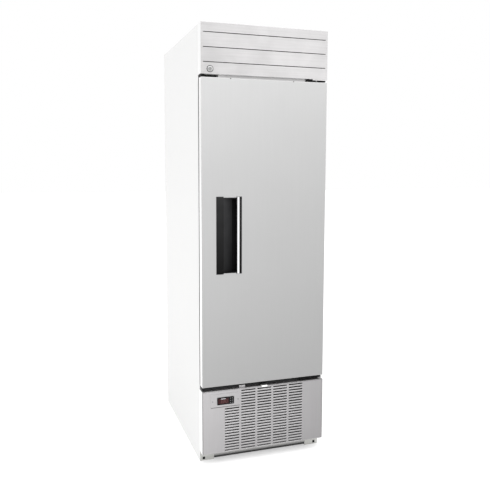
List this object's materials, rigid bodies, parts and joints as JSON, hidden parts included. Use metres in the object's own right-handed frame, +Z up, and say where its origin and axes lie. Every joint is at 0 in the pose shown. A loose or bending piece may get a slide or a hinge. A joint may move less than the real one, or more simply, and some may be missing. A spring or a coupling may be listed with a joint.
{
  "type": "reach-in refrigerator",
  "caption": "Tall commercial reach-in refrigerator: hinged solid steel door with recessed black handle, canopy with barrel lock, slotted lower grille with controller, shelved storage inside.",
  "frame": {"origin": "bottom centre of the bounding box, on the floor", "axes": "+Z up, door faces -Y, hinge side towards +X"},
  "size_m": [0.61, 0.8434, 2.02],
  "materials": {
    "stainless": "fine vertical brushing",
    "stainless_inner": "satin",
    "white_paint": "satin powder coat",
    "galvanised": "spangled zinc",
    "shelf_wire": "bright plated wire",
    "chrome_trim": "polished",
    "black_plastic": "fine grain",
    "hinge_black": "satin black",
    "white_plastic": "satin",
    "grey_plastic": "satin",
    "gasket_rubber": "soft matt",
    "display_lens": "dark red, glossy",
    "foam": "open cut foam",
    "coil_aluminium": "thin fins",
    "motor_black": "satin enamel"
  },
  "bodies": {
    "cabinet": {"canopy_panel": "stainless", "grille_panel": "stainless", "controller_plate": "stainless", "kick_plate": "stainless", "evaporator_cover": "stainless_inner", "pilaster_front_left": "stainless_inner", "pilaster_front_right": "stainless_inner", "pilaster_rear_left": "stainless_inner", "pilaster_rear_right": "stainless_inner", "lock_housing": "stainless_inner", "side_panel_left": "white_paint", "side_panel_right": "white_paint", "inner_liner": "white_paint", "face_frame": "white_paint", "top_panel": "galvanised", "back_panel": "galvanised", "rear_grille": "galvanised", "machine_deck": "galvanised", "base_rail_left": "galvanised", "base_rail_right": "galvanised", "base_rail_rear": "galvanised", "unit_tray": "galvanised", "condenser_shroud": "galvanised", "condensate_pan": "galvanised", "sill_trim": "black_plastic", "controller_housing": "black_plastic", "hinge_bracket_top": "hinge_black", "hinge_bracket_bottom": "hinge_black", "grille_clip": "white_plastic", "interior_light": "white_plastic", "controller_lens": "display_lens", "foam_insulation": "foam", "evaporator_coil": "coil_aluminium", "compressor": "motor_black", "evaporator_fan_motor": "motor_black", "condenser_fan_motor": "motor_black", "condenser_coil": "motor_black"},
    "door": {"door_skin": "stainless", "door_foam": "foam", "door_inner_panel": "white_plastic", "door_gasket": "gasket_rubber", "handle_pocket": "black_plastic", "handle_trim": "chrome_trim", "lock_strike": "black_plastic", "hinge_bush_top": "grey_plastic", "hinge_bush_bottom": "grey_plastic"},
    "lock_rotor": {"lock_plug": "stainless_inner", "lock_cam": "stainless_inner"},
    "room_fan": {"evaporator_fan": "black_plastic"},
    "unit_fan": {"condenser_fan": "black_plastic"},
    "key_set_body": {"key_set": "black_plastic"},
    "key_power_body": {"key_power": "black_plastic"},
    "key_down_body": {"key_down": "black_plastic"},
    "key_defrost_body": {"key_defrost": "black_plastic"},
    "key_up_body": {"key_up": "black_plastic"},
    "key_light_body": {"key_light": "black_plastic"},
    "shelf_lower_body": {"shelf_lower": "shelf_wire"},
    "shelf_middle_body": {"shelf_middle": "shelf_wire"},
    "shelf_upper_body": {"shelf_upper": "shelf_wire"}
  },
  "joints": [
    {"name": "door_swing", "type": "hinge", "parent": "cabinet", "child": "door", "pos_m": [0.29, -0.4013, 1.08], "axis": [0, 0, 1], "range_deg": [0, 120], "stiffness_Nm_per_rad": 2, "springref_deg": -20.05},
    {"name": "lock_turn", "type": "hinge", "parent": "cabinet", "child": "lock_rotor", "pos_m": [-0.263, -0.4063, 1.82], "axis": [0, 1, 0], "range_deg": [0, 90]},
    {"name": "room_fan_spin", "type": "hinge", "parent": "cabinet", "child": "room_fan", "pos_m": [0, -0.1563, 1.792], "axis": [0, 0, 1], "continuous": true},
    {"name": "unit_fan_spin", "type": "hinge", "parent": "cabinet", "child": "unit_fan", "pos_m": [0.075, -0.2163, 0.207], "axis": [0, 1, 0], "continuous": true},
    {"name": "key_set_press", "type": "slide", "parent": "cabinet", "child": "key_set_body", "axis": [0, 1, 0], "range_m": [0, 0.001], "stiffness_N_per_m": 300},
    {"name": "key_power_press", "type": "slide", "parent": "cabinet", "child": "key_power_body", "axis": [0, 1, 0], "range_m": [0, 0.001], "stiffness_N_per_m": 300},
    {"name": "key_down_press", "type": "slide", "parent": "cabinet", "child": "key_down_body", "axis": [0, 1, 0], "range_m": [0, 0.001], "stiffness_N_per_m": 300},
    {"name": "key_defrost_press", "type": "slide", "parent": "cabinet", "child": "key_defrost_body", "axis": [0, 1, 0], "range_m": [0, 0.001], "stiffness_N_per_m": 300},
    {"name": "key_up_press", "type": "slide", "parent": "cabinet", "child": "key_up_body", "axis": [0, 1, 0], "range_m": [0, 0.001], "stiffness_N_per_m": 300},
    {"name": "key_light_press", "type": "slide", "parent": "cabinet", "child": "key_light_body", "axis": [0, 1, 0], "range_m": [0, 0.001], "stiffness_N_per_m": 300},
    {"name": "shelf_lower_lift", "type": "slide", "parent": "cabinet", "child": "shelf_lower_body", "axis": [0, 0, 1], "range_m": [0, 0.025]},
    {"name": "shelf_middle_lift", "type": "slide", "parent": "cabinet", "child": "shelf_middle_body", "axis": [0, 0, 1], "range_m": [0, 0.025]},
    {"name": "shelf_upper_lift", "type": "slide", "parent": "cabinet", "child": "shelf_upper_body", "axis": [0, 0, 1], "range_m": [0, 0.025]}
  ]
}
